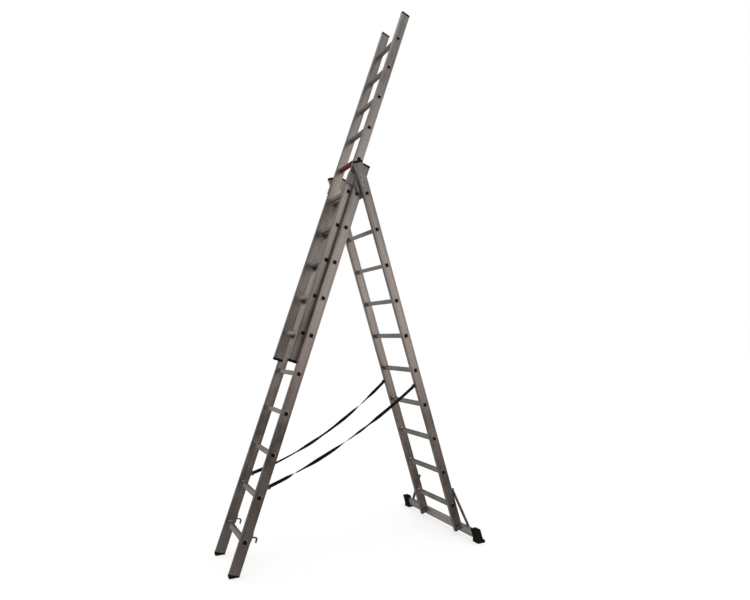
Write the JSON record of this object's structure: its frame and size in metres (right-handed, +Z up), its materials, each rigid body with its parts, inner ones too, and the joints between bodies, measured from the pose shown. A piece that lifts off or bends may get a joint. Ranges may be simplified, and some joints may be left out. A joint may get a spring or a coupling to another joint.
{
  "type": "extension ladder",
  "caption": "Combination ladder of aluminium sections standing as an A-frame with one section run out above the hinge, with a stabiliser bar and spreader straps.",
  "frame": {"origin": "on the floor, in the middle of the box the opened ladder stands in", "axes": "+Z up, X along the rungs, +Y from the front section's feet towards the rear section's stabiliser"},
  "size_m": [1.038, 1.8696, 4.2183],
  "materials": {
    "aluminium": "mill-finish extrusion, faintly ribbed, satin",
    "zinc_steel": "zinc-plated sheet steel, dull",
    "black_plastic": "moulded black plastic, fine grain",
    "black_rubber": "moulded black rubber, matt",
    "black_webbing": "woven polyester webbing, 25 mm",
    "red_plastic": "red plastic sleeve shrunk over the rung, semi-gloss"
  },
  "bodies": {
    "rear_section": {"hinge_plate_left": "zinc_steel", "hinge_plate_right": "zinc_steel", "rear_rung_01": "aluminium", "rear_rung_02": "aluminium", "rear_rung_03": "aluminium", "rear_rung_04": "aluminium", "rear_rung_05": "aluminium", "rear_rung_06": "aluminium", "rear_rung_07": "aluminium", "rear_rung_08": "aluminium", "rear_rung_09": "aluminium", "rear_rung_10": "aluminium", "rear_stile_left": "aluminium", "rear_stile_right": "aluminium", "rear_top_cap_left": "black_plastic", "rear_top_cap_right": "black_plastic", "spreader_strap_left": "black_webbing", "spreader_strap_right": "black_webbing", "stabiliser_bar": "aluminium", "stabiliser_boot_left": "black_rubber", "stabiliser_boot_right": "black_rubber", "stabiliser_brace_left": "zinc_steel", "stabiliser_brace_right": "zinc_steel"},
    "front_section": {"front_foot_left": "black_rubber", "front_foot_right": "black_rubber", "front_rung_01": "aluminium", "front_rung_02": "aluminium", "front_rung_03": "aluminium", "front_rung_04": "aluminium", "front_rung_05": "aluminium", "front_rung_06": "aluminium", "front_rung_07": "aluminium", "front_rung_08": "aluminium", "front_rung_09": "aluminium", "front_rung_10": "aluminium", "front_rung_hook_left": "zinc_steel", "front_rung_hook_right": "zinc_steel", "front_stile_left": "aluminium", "front_stile_right": "aluminium", "front_top_cap_left": "black_plastic", "front_top_cap_right": "black_plastic"},
    "top_section": {"top_bottom_cap_left": "black_plastic", "top_bottom_cap_right": "black_plastic", "top_rung_01": "aluminium", "top_rung_02": "aluminium", "top_rung_03": "aluminium", "top_rung_04": "aluminium", "top_rung_05": "aluminium", "top_rung_06": "red_plastic", "top_rung_07": "aluminium", "top_rung_08": "aluminium", "top_rung_09": "aluminium", "top_rung_10": "aluminium", "top_rung_hook_left": "zinc_steel", "top_rung_hook_right": "zinc_steel", "top_stile_left": "aluminium", "top_stile_right": "aluminium", "top_top_cap_left": "black_plastic", "top_top_cap_right": "black_plastic"}
  },
  "joints": [
    {"name": "fold", "type": "hinge", "parent": "rear_section", "child": "front_section", "pos_m": [0.045, -0.07052, 2.63544], "axis": [1, 0, 0], "range_deg": [0, 36.1], "deforming": ["spreader_strap_left", "spreader_strap_right"]},
    {"name": "top_slide", "type": "slide", "parent": "front_section", "child": "top_section", "axis": [0, 0.3003, 0.9538], "range_m": [-1.4, 0.28]}
  ]
}
